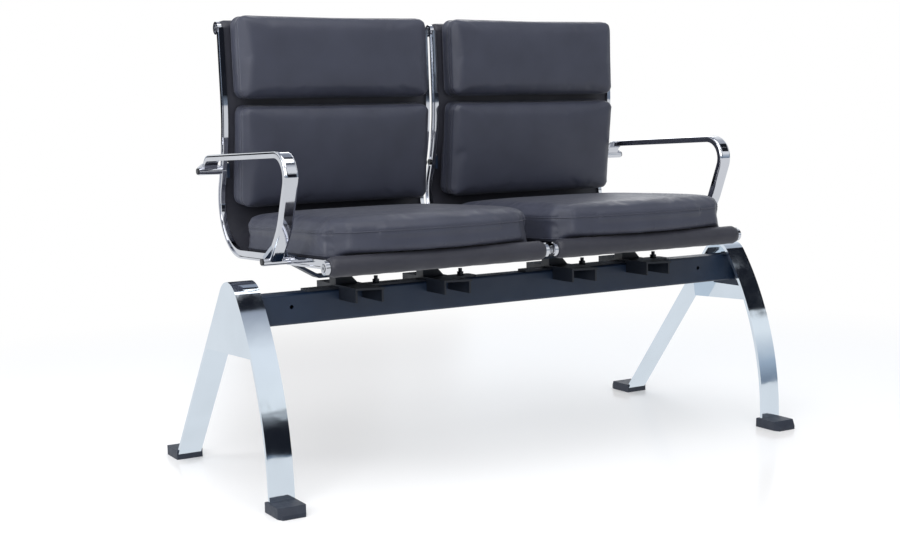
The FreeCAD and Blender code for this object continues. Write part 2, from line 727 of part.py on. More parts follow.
def walk(start, heading, moves):
    # Follows straight runs and tangent turns. Each move is (length,) or (radius, angle), a
    # positive angle turning left. Gives the points and, beside each, the turn that leaves it.
    points = [(start, heading, None)]
    place = start
    for move in moves:
        if len(move) == 1:
            place = (place[0] + cosine(heading) * move[0], place[1] + sine(heading) * move[0])
            points[-1] = (points[-1][0], points[-1][1], None)
        else:
            radius, angle = move
            side = 1 if angle.value > 0 else -1
            hub = (place[0] - sine(heading) * radius * side, place[1] + cosine(heading) * radius * side)
            points[-1] = (points[-1][0], points[-1][1], (radius, side))
            heading = heading + angle
            place = (hub[0] + sine(heading) * radius * side, hub[1] - cosine(heading) * radius * side)
        points.append((place, heading, None))
    return points


def ribbon(points, half):
    # The closed side view of a strip that lies the same way to both sides of a walked line.
    left = []
    right = []
    for index, (place, heading, turn) in enumerate(points):
        shift = (-sine(heading) * half, cosine(heading) * half)
        near = (place[0] + shift[0], place[1] + shift[1])
        far = (place[0] - shift[0], place[1] - shift[1])
        if turn:
            near += (turn[0] - half * turn[1], -turn[1])
        left.append(near)
        before = points[index - 1][2] if index else None
        if before:
            far += (before[0] + half * before[1], before[1])
        right.append(far)
    return left + right[::-1]


def arm_moves():
    # From the front bolt up the leg, round the corner, along the bar and down to the rear bolt.
    front = arm_bolt_front()
    rear = arm_bolt_rear()
    spread = size("arm_foot_angle")
    lean = size("arm_leg_angle")
    fall = size("arm_fall")
    curve = size("arm_leg_radius")
    corner = size("arm_corner")
    drop = size("arm_rear_corner")
    level = size("arm_top") - size("arm_thick") / 2
    foot_rise = sine(spread) * size("arm_foot_run")
    bend_rise = curve * (cosine(lean) - cosine(spread))
    corner_rise = corner * (cosine(fall) - cosine(lean))
    run = (level - front[1] - foot_rise - bend_rise - corner_rise) / sine(lean)
    moves = [(size("arm_foot_run"),), (curve, lean - spread), (run,), (corner, -lean - fall)]
    bar_start = walk(front, spread, moves)[-1][0]
    bar = (rear[0] - bar_start[0] - drop * (1 - sine(fall))) / cosine(fall)
    rest = bar_start[1] - bar * sine(fall) - drop * cosine(fall) - rear[1]
    return moves + [(bar,), (drop, fall - 90), (rest,)]


def round_edges(body, points, radius):
    # Rounds the long edges of both side faces that run through the given points.
    marks = [vector(point) for point in points]
    names = []
    for number, edge in enumerate(body.Shape.Edges, start=1):
        ends = [vertex.Point for vertex in edge.Vertexes]
        level = len(ends) == 2 and abs(ends[0].x - ends[1].x) < TINY
        flat = [FreeCAD.Vector(end.y, end.z, 0) for end in ends]
        if level and all(min(mark.distanceToPoint(end) for mark in marks) < TINY for end in flat):
            names.append("Edge%d" % number)
    before = body.Tip
    feature = body.newObject("PartDesign::Fillet", body.Name + "_round")
    feature.Base = (before, names)
    feature.setExpression("Radius", as_size(radius).text)


def add_flare(body, place, heading, tall, band_side, barrel_end):
    # A wedge that widens one side of the band's end to the end of its barrel.
    thick = size("arm_thick") / 2
    sketches = []
    for across, reach in ((band_side, tall), (barrel_end, size("barrel_size") / 2)):
        corners = []
        for rise, run in ((-thick, 0), (-thick, reach), (thick - size("arm_edge"), reach),
                          (thick - size("arm_edge"), 0)):
            corners.append((place[0] + cosine(heading) * run - sine(heading) * rise,
                            place[1] + sine(heading) * run + cosine(heading) * rise))
        sketch = new_sketch(body, "YZ_Plane", across)
        add_outline(sketch, corners)
        sketches.append(sketch)
    loft = body.newObject("PartDesign::AdditiveLoft", body.Name + "_flare")
    loft.Profile = sketches[0]
    loft.Sections = sketches[1:]
    loft.Ruled = True


def build_arm(side, label):
    outer = side * (size("seat_pitch") + size("seat_span")) / 2
    long = size("barrel_long")
    half = size("arm_width") / 2
    middle = outer + side * long / 2
    body = new_body("armrest_" + label)
    sketch = new_sketch(body, "YZ_Plane", middle - half)
    line = walk(arm_bolt_front(), size("arm_foot_angle"), arm_moves())
    corners = ribbon(line, size("arm_thick") / 2)
    add_outline(sketch, corners)
    pad(body, sketch, size("arm_width"))
    DOCUMENT.recompute()
    round_edges(body, corners[:len(line)], size("arm_edge"))
    start = outer if side > 0 else outer - long
    for place in (arm_bolt_front(), arm_bolt_rear()):
        add_boss(body, place, size("barrel_size"), start, long)
    for way in (-1, 1):
        band_side = middle + way * half
        barrel_end = middle + way * long / 2
        foot_angle = size("arm_foot_angle")
        add_flare(body, arm_bolt_front(), foot_angle, size("arm_flare"), band_side, barrel_end)
        add_flare(body, arm_bolt_rear(), as_size(90), size("arm_rear_flare"), band_side, barrel_end)
    for place in (arm_bolt_front(), arm_bolt_rear()):
        bore(body, place, size("arm_bolt") + size("fit_gap"), start, long)


def build_sling(seat, label):
    # A stretched leather sheet with a padded roll round each cross rod.
    thick = size("sling_thick")
    near = (size("rail_depth") - thick) / 2
    half = inner_span() / 2
    reach = half + size("sling_tuck")
    body = new_body("sling_" + label, seat * size("seat_pitch") / 2)
    sketch = new_sketch(body, "YZ_Plane", -reach)
    add_outline(sketch, band_outline(near, near + thick))
    pad(body, sketch, 2 * reach)
    # Notches that keep the edges clear of the bosses and of the stretchers' lugs.
    lug = size("bar_thick") + size("soft_gap")
    slip = size("soft_gap")
    past = size("cut_past")
    notches = [(rail_end(False), size("boss_size"), slip), (rail_end(True), size("boss_size"), slip),
               (arm_bolt_front(), size("bar_wide"), lug), (arm_bolt_rear(), size("bar_wide"), lug)]
    for place, wide, deep in notches:
        reach_out = wide / 2 + past
        low = (place[0] - reach_out, place[1] - reach_out)
        high = (place[0] + reach_out, place[1] + reach_out)
        cut = size("sling_tuck") + deep + past
        for way in (-1, 1):
            sketch = new_sketch(body, "YZ_Plane", deep - half if way < 0 else half - deep + cut)
            add_outline(sketch, rectangle(low, high))
            pocket(body, sketch, cut)
    roll = half - size("soft_gap")
    for place, diameter in ((rail_end(False), size("front_roll")), (rail_end(True), size("top_roll"))):
        add_boss(body, place, diameter, -roll, 2 * roll)
    for place in (rail_end(False), rail_end(True)):
        bore(body, place, size("rod_size") + 2 * size("soft_gap"), -roll, 2 * roll)


def pad_section(body, offset, corners, round_off, crown, bulge):
    # One cross-section of a pad: its base, two bowed ends, two rounded edges and a crowned face.
    base, face_b, face_a = corners
    sketch = new_sketch(body, "YZ_Plane", offset)
    add_outline(sketch, [*base[:-1], (*base[-1], bulge, -1), (*face_b[0], round_off, -1),
                         (*face_b[1], crown, -1), (*face_a[1], round_off, -1), (*face_a[0], bulge, -1)])
    return sketch


def pad_corners(foot, along, across, length, thick, draw, lifts, steps):
    # Corner points in a frame with its foot on the sling: along the sling and away from it.
    # Each step is a further corner of the base, as its run and its rise.
    round_off = size("pad_round")
    def place(run, rise):
        return (foot[0] + along[0] * run + across[0] * rise, foot[1] + along[1] * run + across[1] * rise)
    first_rise = steps[0][1] if steps else size("soft_gap")
    base = [place(draw + lifts[0], first_rise)]
    base += [place(run, rise) for run, rise in steps]
    base.append(place(length - draw - lifts[1], size("soft_gap")))
    face_b = (place(length - draw, thick - round_off), place(length - draw - round_off, thick))
    face_a = (place(draw, thick - round_off), place(draw + round_off, thick))
    return base, face_b, face_a


# Cross-sections of a pad: place across its width, and how far its ends are drawn in there.
STATIONS = [(-0.5, 1.0), (-0.45, 0.35), (-0.36, 0.1), (-0.2, 0.02), (0, 0),
            (0.2, 0.02), (0.36, 0.1), (0.45, 0.35), (0.5, 1.0)]


def build_pad(name, seat, foot, along, across, length, thick, width, bow, crown, lifts, steps):
    # A boxed cushion through nine sections from side to side. Its face is crowned both ways,
    # its sides are drawn in and its front end is bowed.
    body = new_body(name, seat * size("seat_pitch") / 2)
    sections = []
    for station, draw in STATIONS:
        spread = 4 * station * station
        inset = size("pad_draw") * draw
        trim = size("pad_crown") * (size("pad_side_drop") * spread + draw)
        push = bow * spread
        corners = pad_corners((foot[0] + along[0] * push, foot[1] + along[1] * push), along, across,
                              length - push, thick - trim, inset, lifts,
                              [(run - push, rise) for run, rise in steps])
        sections.append(pad_section(body, width * station, corners, size("pad_round_radius"),
                                    crown, size("end_radius")))
    loft = body.newObject("PartDesign::AdditiveLoft", name + "_loft")
    loft.Profile = sections[0]
    loft.Sections = sections[1:]
    loft.Ruled = True
    return body


def build_pads(seat, label):
    inner = (size("rail_depth") + size("sling_thick")) / 2
    front, start, turn, rise, top = rail_corners(inner)
    fall = size("rail_fall")
    back = size("back_lean")
    along = (cosine(fall), -sine(fall))
    across = (sine(fall), cosine(fall))
    reach = size("seat_pad_front") - front[0]
    foot = (size("seat_pad_front"), front[1] - sine(fall) / cosine(fall) * reach)
    # The base passes over the front roll and then steps down to the sling.
    over_roll = size("boss_front_set") + size("front_roll") / 2 - inner + size("soft_gap")
    steps = [(size("pad_step_start") - reach, over_roll), (size("pad_step_end") - reach, size("soft_gap"))]
    long = size("seat_pad_rear") - size("seat_pad_front")
    build_pad("seat_pad_" + label, seat, foot, along, across, long,
              size("seat_pad_thick"), inner_span() - 2 * size("seat_pad_clear"),
              size("seat_pad_bow"), size("seat_crown_radius"),
              (size("pad_lift"), size("seat_pad_lift")), steps)
    back_width = inner_span() - 2 * size("back_pad_clear")
    along = (sine(back), cosine(back))
    across = (-cosine(back), sine(back))
    climb = size("head_pad_low") - rise[1]
    foot = (rise[0] + sine(back) / cosine(back) * climb, size("head_pad_low"))
    tall = size("head_pad_high") - size("head_pad_low")
    build_pad("head_pad_" + label, seat, foot, along, across, tall,
              size("back_pad_thick"), back_width, as_size(0), size("back_crown_radius"),
              (size("pad_lift"), size("pad_lift")), [])
    # The lumbar pad leans as the reverse curve does where its flat base touches the sling.
    lean = size("lumbar_pad_lean")
    along = (-sine(lean), cosine(lean))
    across = (-cosine(lean), -sine(lean))
    centre = lumbar_centre()
    reach = size("lumbar_radius") + inner
    touch = (centre[0] + across[0] * reach, centre[1] + across[1] * reach)
    climb = touch[1] - size("lumbar_pad_low")
    foot = (touch[0] + sine(lean) / cosine(lean) * climb, size("lumbar_pad_low"))
    tall = size("lumbar_pad_high") - size("lumbar_pad_low")
    build_pad("lumbar_pad_" + label, seat, foot, along, across, tall,
              size("back_pad_thick"), back_width, as_size(0), size("back_crown_radius"),
              (size("lumbar_pad_lift"), size("pad_lift")), [])


# Mounts between the beam and the seats

def unit_place(unit):
    # Middle of a mount arm, from the middle of its seat.
    return size("mount_shift") + unit * size("unit_reach")


def bolt_place(unit):
    return unit_place(unit) + size("bolt_step")


def build_mount_plate(centre, label):
    middle = size("beam_y")
    plate = new_body("mount_plate_" + label, centre)
    sketch = new_sketch(plate, "XY_Plane", size("beam_top"))
    half = size("mount_long") / 2
    wide = size("mount_wide") / 2
    shift = size("mount_shift")
    low = (shift - half, middle - wide)
    high = (shift + half, middle + wide)
    add_outline(sketch, rounded(low, high, size("mount_corner")))
    for unit in (-1, 1):
        add_circle(sketch, (bolt_place(unit), middle), size("mount_bolt") + size("fit_gap"))
    pad(plate, sketch, size("mount_thick"))


def build_mount_arm(unit, centre, label):
    # A folded channel across the beam, notched over it, its nose cut at a slant in plan.
    thick = size("saddle_thick")
    left = unit_place(unit) - size("saddle_wide") / 2
    right = unit_place(unit) + size("saddle_wide") / 2
    beam_front = size("beam_y") - size("beam_depth") / 2
    beam_rear = size("beam_y") + size("beam_depth") / 2
    rear = beam_rear + size("saddle_rear")
    near = beam_front - size("saddle_front")
    far = near - size("saddle_nose")
    base = size("beam_top") + size("mount_thick")
    drop = size("beam_top") - size("saddle_drop")
    slip = size("fit_gap")
    body = new_body("beam_saddle_%s_%d" % (label, 1 if unit < 0 else 2), centre)
    sketch = new_sketch(body, "XY_Plane", base)
    add_outline(sketch, [(left, near), (right, far), (right, rear), (left, rear)])
    pad(body, sketch, thick)
    for start, nose in ((left, near), (right - thick, far + size("saddle_inset"))):
        sketch = new_sketch(body, "YZ_Plane", start)
        add_outline(sketch, [
            (nose, drop), (beam_front - slip, drop), (beam_front - slip, base), (beam_rear + slip, base),
            (beam_rear + slip, drop), (rear, drop), (rear, base + thick), (nose, base + thick)])
        pad(body, sketch, thick)


def build_mount(seat, label):
    centre = seat * size("seat_pitch") / 2
    middle = size("beam_y")
    top = size("beam_top")
    thick = size("mount_thick")
    build_mount_plate(centre, label)
    blocks = []
    bolts = []
    for unit in (-1, 1):
        build_mount_arm(unit, centre, label)
        low = top + thick + size("saddle_thick")
        deep = size("block_deep")
        block = new_body("spacer_%s_%d" % (label, unit + 1), centre)
        sketch = new_sketch(block, "XZ_Plane", deep / 2 - size("arm_front"))
        left = unit_place(unit) + size("block_step") - size("block_wide") / 2
        right = left + size("block_wide")
        add_outline(sketch, [(left, low), (right + size("block_slope"), low),
                             (right, size("stretcher_level")), (left, size("stretcher_level"))])
        pad(block, sketch, deep, flip=True)
        blocks.append(block)
        place = (bolt_place(unit), middle)
        inside = top - size("beam_wall") - size("nut_tall")
        bolt = new_body("mount_bolt_%s_%d" % (label, unit + 1), centre)
        sketch = new_sketch(bolt, "XY_Plane", inside - size("bolt_end"))
        add_circle(sketch, place, size("mount_bolt"))
        pad(bolt, sketch, size("beam_wall") + thick + 2 * (size("nut_tall") + size("bolt_end")))
        bolts.append(bolt)
        for number, level in enumerate((inside, top + thick)):
            nut = new_body("mount_nut_%s_%d_%d" % (label, unit + 1, number), centre)
            sketch = new_sketch(nut, "XY_Plane", level)
            add_outline(sketch, hexagon(place, size("mount_flats")))
            add_circle(sketch, place, size("mount_bolt"))
            pad(nut, sketch, size("nut_tall"))
            bolts.append(nut)
    gather("spacer_blocks_" + label, blocks)
    gather("mount_bolts_" + label, bolts)


def write_parts():
    DOCUMENT.recompute()
    for item in DOCUMENT.Objects:
        if "Invalid" in item.State or "Error" in item.State:
            raise RuntimeError("%s failed: %s" % (item.Label, item.State))
    os.makedirs("parts", exist_ok=True)
    for part in PARTS:
        if part.Shape.isNull() or not part.Shape.isValid():
            raise RuntimeError(part.Label + " has no valid shape")
        part.Shape.exportStep("parts/%s.step" % part.Label)
    print("%d parts written" % len(PARTS))


make_sheet()
build_beam()
for side, label in ((-1, "left"), (1, "right")):
    build_leg(side, label)
    build_end_plate(side, label)
    build_leg_fixings(side, label)
    for end in (-1, 1):
        build_shoe(end, side, label)
    build_mount(side, label)
    build_rail(side, -1, label + "_outer" if side < 0 else label + "_inner")
    build_rail(side, 1, label + "_inner" if side < 0 else label + "_outer")
    build_rods(side, label)
    build_rod_screws(side, label)
    build_stretchers(side, label)
    build_arm_bolts(side, label)
    build_arm(side, label)
    build_sling(side, label)
    build_pads(side, label)
write_parts()
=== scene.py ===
import bpy
import math
from mathutils import Vector, Matrix


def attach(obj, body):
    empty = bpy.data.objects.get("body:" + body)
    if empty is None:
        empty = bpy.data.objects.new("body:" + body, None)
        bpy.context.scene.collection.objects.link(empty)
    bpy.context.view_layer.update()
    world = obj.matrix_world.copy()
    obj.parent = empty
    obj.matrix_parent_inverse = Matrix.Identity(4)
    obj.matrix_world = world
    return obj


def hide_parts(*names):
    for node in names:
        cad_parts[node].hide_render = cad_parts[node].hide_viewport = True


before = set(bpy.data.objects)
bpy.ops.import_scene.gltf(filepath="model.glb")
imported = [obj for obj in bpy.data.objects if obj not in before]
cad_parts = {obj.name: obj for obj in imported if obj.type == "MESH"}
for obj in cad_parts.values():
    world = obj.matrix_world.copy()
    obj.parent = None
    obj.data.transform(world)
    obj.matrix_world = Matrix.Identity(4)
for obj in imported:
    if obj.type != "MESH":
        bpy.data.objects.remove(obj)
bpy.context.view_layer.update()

# Two-seat beam bench. Metres, x along the beam, y towards the back, z up.

camera = {"place": (-1.5577, -2.5212, 0.7144), "yaw": 30.73, "pitch": -9.2, "roll": -1.14,
          "focal": 1389.9, "middle": (461.6, 335.3), "picture": (900, 539)}


def makeCamera():
    data = bpy.data.cameras.new("photoCamera")
    item = bpy.data.objects.new("photoCamera", data)
    bpy.context.collection.objects.link(item)
    yaw = math.radians(camera["yaw"])
    pitch = math.radians(camera["pitch"])
    roll = math.radians(camera["roll"])
    ahead = Vector((math.sin(yaw) * math.cos(pitch), math.cos(yaw) * math.cos(pitch), math.sin(pitch)))
    right = Vector((math.cos(yaw), -math.sin(yaw), 0))
    up = right.cross(ahead)
    turnedRight = math.cos(roll) * right + math.sin(roll) * up
    turnedUp = -math.sin(roll) * right + math.cos(roll) * up
    turn = Matrix((turnedRight, turnedUp, -ahead)).transposed()
    item.matrix_world = Matrix.Translation(camera["place"]) @ turn.to_4x4()
    wide, tall = camera["picture"]
    data.sensor_width = 36
    data.lens = camera["focal"] * data.sensor_width / wide
    data.shift_x = (wide / 2 - camera["middle"][0]) / wide
    data.shift_y = (camera["middle"][1] - tall / 2) / wide
    data.clip_start = 0.05
    bpy.context.scene.camera = item
    print("camera set")


makeCamera()

stage = {"size": 60.0, "floor": (0.80, 0.80, 0.81), "shine": 0.16, "gloss": 0.22, "fill": 0.20,
         "worldLight": 0.60, "fadeStart": 1.0, "fadeEnd": 2.3,
         # Painted reflection: pale and dark noise patches on the floor, seen only by glossy rays.
         "paintedReflectScale": 0.85, "paintedReflectDetail": 6, "paintedReflectTwist": 1.2,
         "paintedReflectTones": ((0.72, (0.86, 0.88, 0.90)), (0.75, (0.012, 0.014, 0.02))),
         # Painted reflection: pale walls, ragged dark patches and a darker ceiling that only glossy rays
         # see.
         "paintedSkyTones": ((0.0, (0.20, 0.25, 0.32)), (0.12, (0.42, 0.50, 0.60)), (0.30, (0.95, 0.98, 1)),
                       (0.62, (0.9, 0.93, 0.97)), (0.80, (0.30, 0.33, 0.40))),
         "paintedSkyPatch": (0.012, 0.014, 0.02), "paintedSkyScale": 2.6, "paintedSkyDetail": 5, "paintedSkyEdge": (0.55, 0.58)}


def addRamp(nodes, links, source, steps):
    ramp = nodes.new("ShaderNodeValToRGB")
    elements = ramp.color_ramp.elements
    for index, (position, colour) in enumerate(steps):
        element = elements[index] if index < 2 else elements.new(position)
        element.position = position
        element.color = (*colour, 1)
    links.new(source, ramp.inputs["Fac"])
    return ramp.outputs["Color"]


def addShaderMix(nodes, links, factor, first, second):
    mixed = nodes.new("ShaderNodeMixShader")
    links.new(factor, mixed.inputs["Fac"])
    links.new(first, mixed.inputs[1])
    links.new(second, mixed.inputs[2])
    return mixed.outputs[0]


def addSmoothStep(nodes, links, source, low, high):
    step = nodes.new("ShaderNodeMapRange")
    step.interpolation_type = "SMOOTHSTEP"
    step.inputs["From Min"].default_value = low
    step.inputs["From Max"].default_value = high
    links.new(source, step.inputs["Value"])
    return step.outputs["Result"]


def makeFloor():
    bpy.ops.object.select_all(action="DESELECT")
    bpy.ops.mesh.primitive_plane_add(size=stage["size"], location=(0, 0, 0))
    floor = bpy.context.object
    floor.name = "studioFloor"
    material = bpy.data.materials.new("studioFloor")
    material.use_nodes = True
    nodes = material.node_tree.nodes
    links = material.node_tree.links
    shader = nodes["Principled BSDF"]
    shader.inputs["Base Color"].default_value = (*stage["floor"], 1)
    shader.inputs["Roughness"].default_value = stage["shine"]
    shader.inputs["Specular IOR Level"].default_value = stage["gloss"]
    path = nodes.new("ShaderNodeLightPath")
    place = nodes.new("ShaderNodeTexCoord").outputs["Object"]
    # The camera sees the floor lifted towards white, so that only its shadows stay grey.
    fill = nodes.new("ShaderNodeEmission")
    fill.inputs["Strength"].default_value = stage["fill"]
    lifted = nodes.new("ShaderNodeAddShader")
    links.new(shader.outputs[0], lifted.inputs[0])
    links.new(fill.outputs[0], lifted.inputs[1])
    # Away from the seats the floor fades to the white of the backdrop.
    reach = nodes.new("ShaderNodeVectorMath")
    reach.operation = "LENGTH"
    links.new(place, reach.inputs[0])
    fade = addSmoothStep(nodes, links, reach.outputs["Value"], stage["fadeStart"], stage["fadeEnd"])
    white = nodes.new("ShaderNodeEmission")
    faded = addShaderMix(nodes, links, fade, lifted.outputs[0], white.outputs[0])
    seen = addShaderMix(nodes, links, path.outputs["Is Camera Ray"], shader.outputs[0], faded)
    # Painted reflection: to glossy rays alone the floor glows pale with ragged dark patches, standing in for
    # the studio surroundings that polished metal would mirror.
    noise = nodes.new("ShaderNodeTexNoise")
    noise.inputs["Scale"].default_value = stage["paintedReflectScale"]
    noise.inputs["Detail"].default_value = stage["paintedReflectDetail"]
    noise.inputs["Distortion"].default_value = stage["paintedReflectTwist"]
    links.new(place, noise.inputs["Vector"])
    paintedReflect = nodes.new("ShaderNodeEmission")
    links.new(addRamp(nodes, links, noise.outputs["Fac"], stage["paintedReflectTones"]), paintedReflect.inputs["Color"])
    mixed = addShaderMix(nodes, links, path.outputs["Is Glossy Ray"], seen, paintedReflect.outputs[0])
    links.new(mixed, nodes["Material Output"].inputs["Surface"])
    floor.data.materials.append(material)


def makeWorld():
    world = bpy.context.scene.world or bpy.data.worlds.new("studio")
    bpy.context.scene.world = world
    world.use_nodes = True
    nodes = world.node_tree.nodes
    links = world.node_tree.links
    nodes.clear()
    out = nodes.new("ShaderNodeOutputWorld")
    path = nodes.new("ShaderNodeLightPath")
    plain = nodes.new("ShaderNodeBackground")
    strength = nodes.new("ShaderNodeMapRange")
    strength.inputs["To Min"].default_value = stage["worldLight"]
    strength.inputs["To Max"].default_value = 1.0
    links.new(path.outputs["Is Camera Ray"], strength.inputs["Value"])
    links.new(strength.outputs["Result"], plain.inputs["Strength"])
    plain.inputs["Color"].default_value = (1, 1, 1, 1)
    # Painted reflection: glossy rays alone meet a made-up studio of pale walls with ragged dark patches and
    # a darker ceiling, seen only in the polished metal.
    heading = nodes.new("ShaderNodeTexCoord").outputs["Generated"]
    split = nodes.new("ShaderNodeSeparateXYZ")
    links.new(heading, split.inputs[0])
    ragged = nodes.new("ShaderNodeTexNoise")
    ragged.inputs["Scale"].default_value = stage["paintedSkyScale"]
    ragged.inputs["Detail"].default_value = stage["paintedSkyDetail"]
    links.new(heading, ragged.inputs["Vector"])
    paintedSky = nodes.new("ShaderNodeMix")
    paintedSky.data_type = "RGBA"
    paintedSky.inputs["B"].default_value = (*stage["paintedSkyPatch"], 1)
    links.new(addSmoothStep(nodes, links, ragged.outputs["Fac"], *stage["paintedSkyEdge"]), paintedSky.inputs["Factor"])
    links.new(addRamp(nodes, links, split.outputs["Z"], stage["paintedSkyTones"]), paintedSky.inputs["A"])
    studio = nodes.new("ShaderNodeBackground")
    links.new(paintedSky.outputs["Result"], studio.inputs["Color"])
    shown = addShaderMix(nodes, links, path.outputs["Is Glossy Ray"], plain.outputs[0], studio.outputs[0])
    links.new(shown, out.inputs["Surface"])


def makeStage():
    makeFloor()
    makeWorld()
    bpy.context.scene.view_settings.view_transform = "Standard"
    print("stage set")


makeStage()

lights = [
    {"name": "softTop", "place": (-0.6, -0.8, 3.0), "aim": (0, 0, 0.4), "size": 2.6, "power": 46},
    {"name": "softFront", "place": (-2.6, -2.6, 1.9), "aim": (0, 0, 0.5), "size": 1.8, "power": 40},
    {"name": "softLeft", "place": (-3.0, 0.6, 1.3), "aim": (-0.4, 0, 0.6), "size": 1.4, "power": 26},
    {"name": "softBack", "place": (1.8, 2.4, 2.4), "aim": (0, 0, 0.5), "size": 1.8, "power": 26},
]


def makeLights():
    for entry in lights:
        data = bpy.data.lights.new(entry["name"], "AREA")
        data.size = entry["size"]
        data.energy = entry["power"]
        item = bpy.data.objects.new(entry["name"], data)
        bpy.context.collection.objects.link(item)
        item.location = entry["place"]
        aim = Vector(entry["aim"]) - Vector(entry["place"])
        item.rotation_euler = aim.to_track_quat("-Z", "Y").to_euler()
    print("lights set")


makeLights()


# Materials. Each gets its colour variation, roughness and relief from nodes on object coordinates.

def newMaterial(name, colour, metallic, roughness):
    material = bpy.data.materials.new(name)
    material.use_nodes = True
    shader = material.node_tree.nodes["Principled BSDF"]
    shader.inputs["Base Color"].default_value = (*colour, 1)
    shader.inputs["Metallic"].default_value = metallic
    shader.inputs["Roughness"].default_value = roughness
    return material, material.node_tree.nodes, material.node_tree.links, shader


def objectPoint(nodes):
    return nodes.new("ShaderNodeTexCoord").outputs["Object"]


def addNoise(nodes, links, scale, detail=3.0, stretch=None):
    noise = nodes.new("ShaderNodeTexNoise")
    noise.inputs["Scale"].default_value = scale
    noise.inputs["Detail"].default_value = detail
    point = objectPoint(nodes)
    if stretch:
        mapping = nodes.new("ShaderNodeMapping")
        mapping.inputs["Scale"].default_value = stretch
        links.new(point, mapping.inputs["Vector"])
        point = mapping.outputs["Vector"]
    links.new(point, noise.inputs["Vector"])
    return noise.outputs["Fac"]


def addRange(nodes, links, source, low, high, fromLow=0.3, fromHigh=0.7):
    ranged = nodes.new("ShaderNodeMapRange")
    ranged.inputs["From Min"].default_value = fromLow
    ranged.inputs["From Max"].default_value = fromHigh
    ranged.inputs["To Min"].default_value = low
    ranged.inputs["To Max"].default_value = high
    links.new(source, ranged.inputs["Value"])
    return ranged.outputs["Result"]


def addMix(nodes, links, source, first, second):
    return addRamp(nodes, links, source, ((0.3, first), (0.7, second)))


def addBump(nodes, links, shader, height, strength, distance, before=None):
    bump = nodes.new("ShaderNodeBump")
    bump.inputs["Strength"].default_value = strength
    bump.inputs["Distance"].default_value = distance
    links.new(height, bump.inputs["Height"])
    if before:
        links.new(before.outputs["Normal"], bump.inputs["Normal"])
    links.new(bump.outputs["Normal"], shader.inputs["Normal"])
    return bump


def makeLeather(name, dark, light, shine):
    # Smooth corrected-grain leather: fine pebbles, soft creases and a slightly uneven dye.
    material, nodes, links, shader = newMaterial(name, dark, 0.0, shine)
    shader.inputs["Specular IOR Level"].default_value = 0.42
    shader.inputs["Sheen Weight"].default_value = 0.06
    shader.inputs["Sheen Roughness"].default_value = 0.4
    tone = addNoise(nodes, links, 14, 4)
    links.new(addMix(nodes, links, tone, dark, light), shader.inputs["Base Color"])
    wear = addNoise(nodes, links, 45, 5)
    links.new(addRange(nodes, links, wear, shine - 0.05, shine + 0.07), shader.inputs["Roughness"])
    pebble = nodes.new("ShaderNodeTexVoronoi")
    pebble.feature = "DISTANCE_TO_EDGE"
    pebble.inputs["Scale"].default_value = 620
    links.new(objectPoint(nodes), pebble.inputs["Vector"])
    grain = addRange(nodes, links, pebble.outputs["Distance"], 0, 1, 0.0, 0.35)
    first = addBump(nodes, links, shader, grain, 0.22, 0.0003)
    crease = addNoise(nodes, links, 60, 3, (1.0, 2.4, 1.6))
    addBump(nodes, links, shader, crease, 0.07, 0.0012, first)
    return material


def makeChrome(name, colour, rough, wave):
    # Polished plate: faint waviness from the metal below, hairline polish and light haze.
    material, nodes, links, shader = newMaterial(name, colour, 1.0, rough)
    haze = addNoise(nodes, links, 26, 4)
    links.new(addRange(nodes, links, haze, rough * 0.7, rough * 1.7), shader.inputs["Roughness"])
    tint = addNoise(nodes, links, 9, 2)
    darker = tuple(part * 0.94 for part in colour)
    links.new(addMix(nodes, links, tint, darker, colour), shader.inputs["Base Color"])
    ripple = addNoise(nodes, links, 22, 1.5)
    first = addBump(nodes, links, shader, ripple, wave, 0.0012)
    hair = addNoise(nodes, links, 900, 2, (0.2, 1.0, 1.0))
    addBump(nodes, links, shader, hair, 0.012, 0.0002, first)
    return material


def makePaint(name, colour, light, rough):
    # Powder coat: a fine orange peel and slightly paler, duller patches.
    material, nodes, links, shader = newMaterial(name, colour, 0.0, rough)
    tone = addNoise(nodes, links, 7, 4)
    links.new(addMix(nodes, links, tone, colour, light), shader.inputs["Base Color"])
    links.new(addRange(nodes, links, addNoise(nodes, links, 30, 4), rough - 0.06, rough + 0.08),
              shader.inputs["Roughness"])
    addBump(nodes, links, shader, addNoise(nodes, links, 700, 2), 0.18, 0.0003)
    return material


def makePlastic(name, colour, light):
    material, nodes, links, shader = newMaterial(name, colour, 0.0, 0.5)
    tone = addNoise(nodes, links, 55, 4)
    links.new(addMix(nodes, links, tone, colour, light), shader.inputs["Base Color"])
    links.new(addRange(nodes, links, addNoise(nodes, links, 90, 4), 0.42, 0.6), shader.inputs["Roughness"])
    addBump(nodes, links, shader, addNoise(nodes, links, 1600, 2), 0.3, 0.0002)
    return material


leather = {
    "pad": makeLeather("padLeather", (0.038, 0.042, 0.064), (0.047, 0.052, 0.078), 0.42),
    # The sling and its rolls get the pad leather darkened: painted shade standing in for the shadow on the
    # sling between the rails and the pads.
    "sling": makeLeather("shadedSlingLeather", (0.026, 0.027, 0.038), (0.034, 0.035, 0.048), 0.46),
}
metals = {
    "leg": makeChrome("legChrome", (0.74, 0.81, 0.88), 0.06, 0.25),
    "rail": makeChrome("railChrome", (0.66, 0.67, 0.71), 0.05, 0.12),
    "screw": makeChrome("screwSteel", (0.50, 0.51, 0.54), 0.16, 0.1),
    "beam": makePaint("beamPaint", (0.006, 0.017, 0.042), (0.010, 0.025, 0.058), 0.42),
    # The mounts, saddles and spacers are the beam's blue darkened near black: painted shade standing in for
    # the shadow under the seat plates.
    "mount": makePaint("shadedMountPaint", (0.004, 0.007, 0.014), (0.007, 0.011, 0.021), 0.45),
    "cap": makePaint("capPaint", (0.010, 0.011, 0.014), (0.016, 0.017, 0.021), 0.35),
    "shoe": makePlastic("shoePlastic", (0.012, 0.018, 0.034), (0.020, 0.027, 0.046)),
}

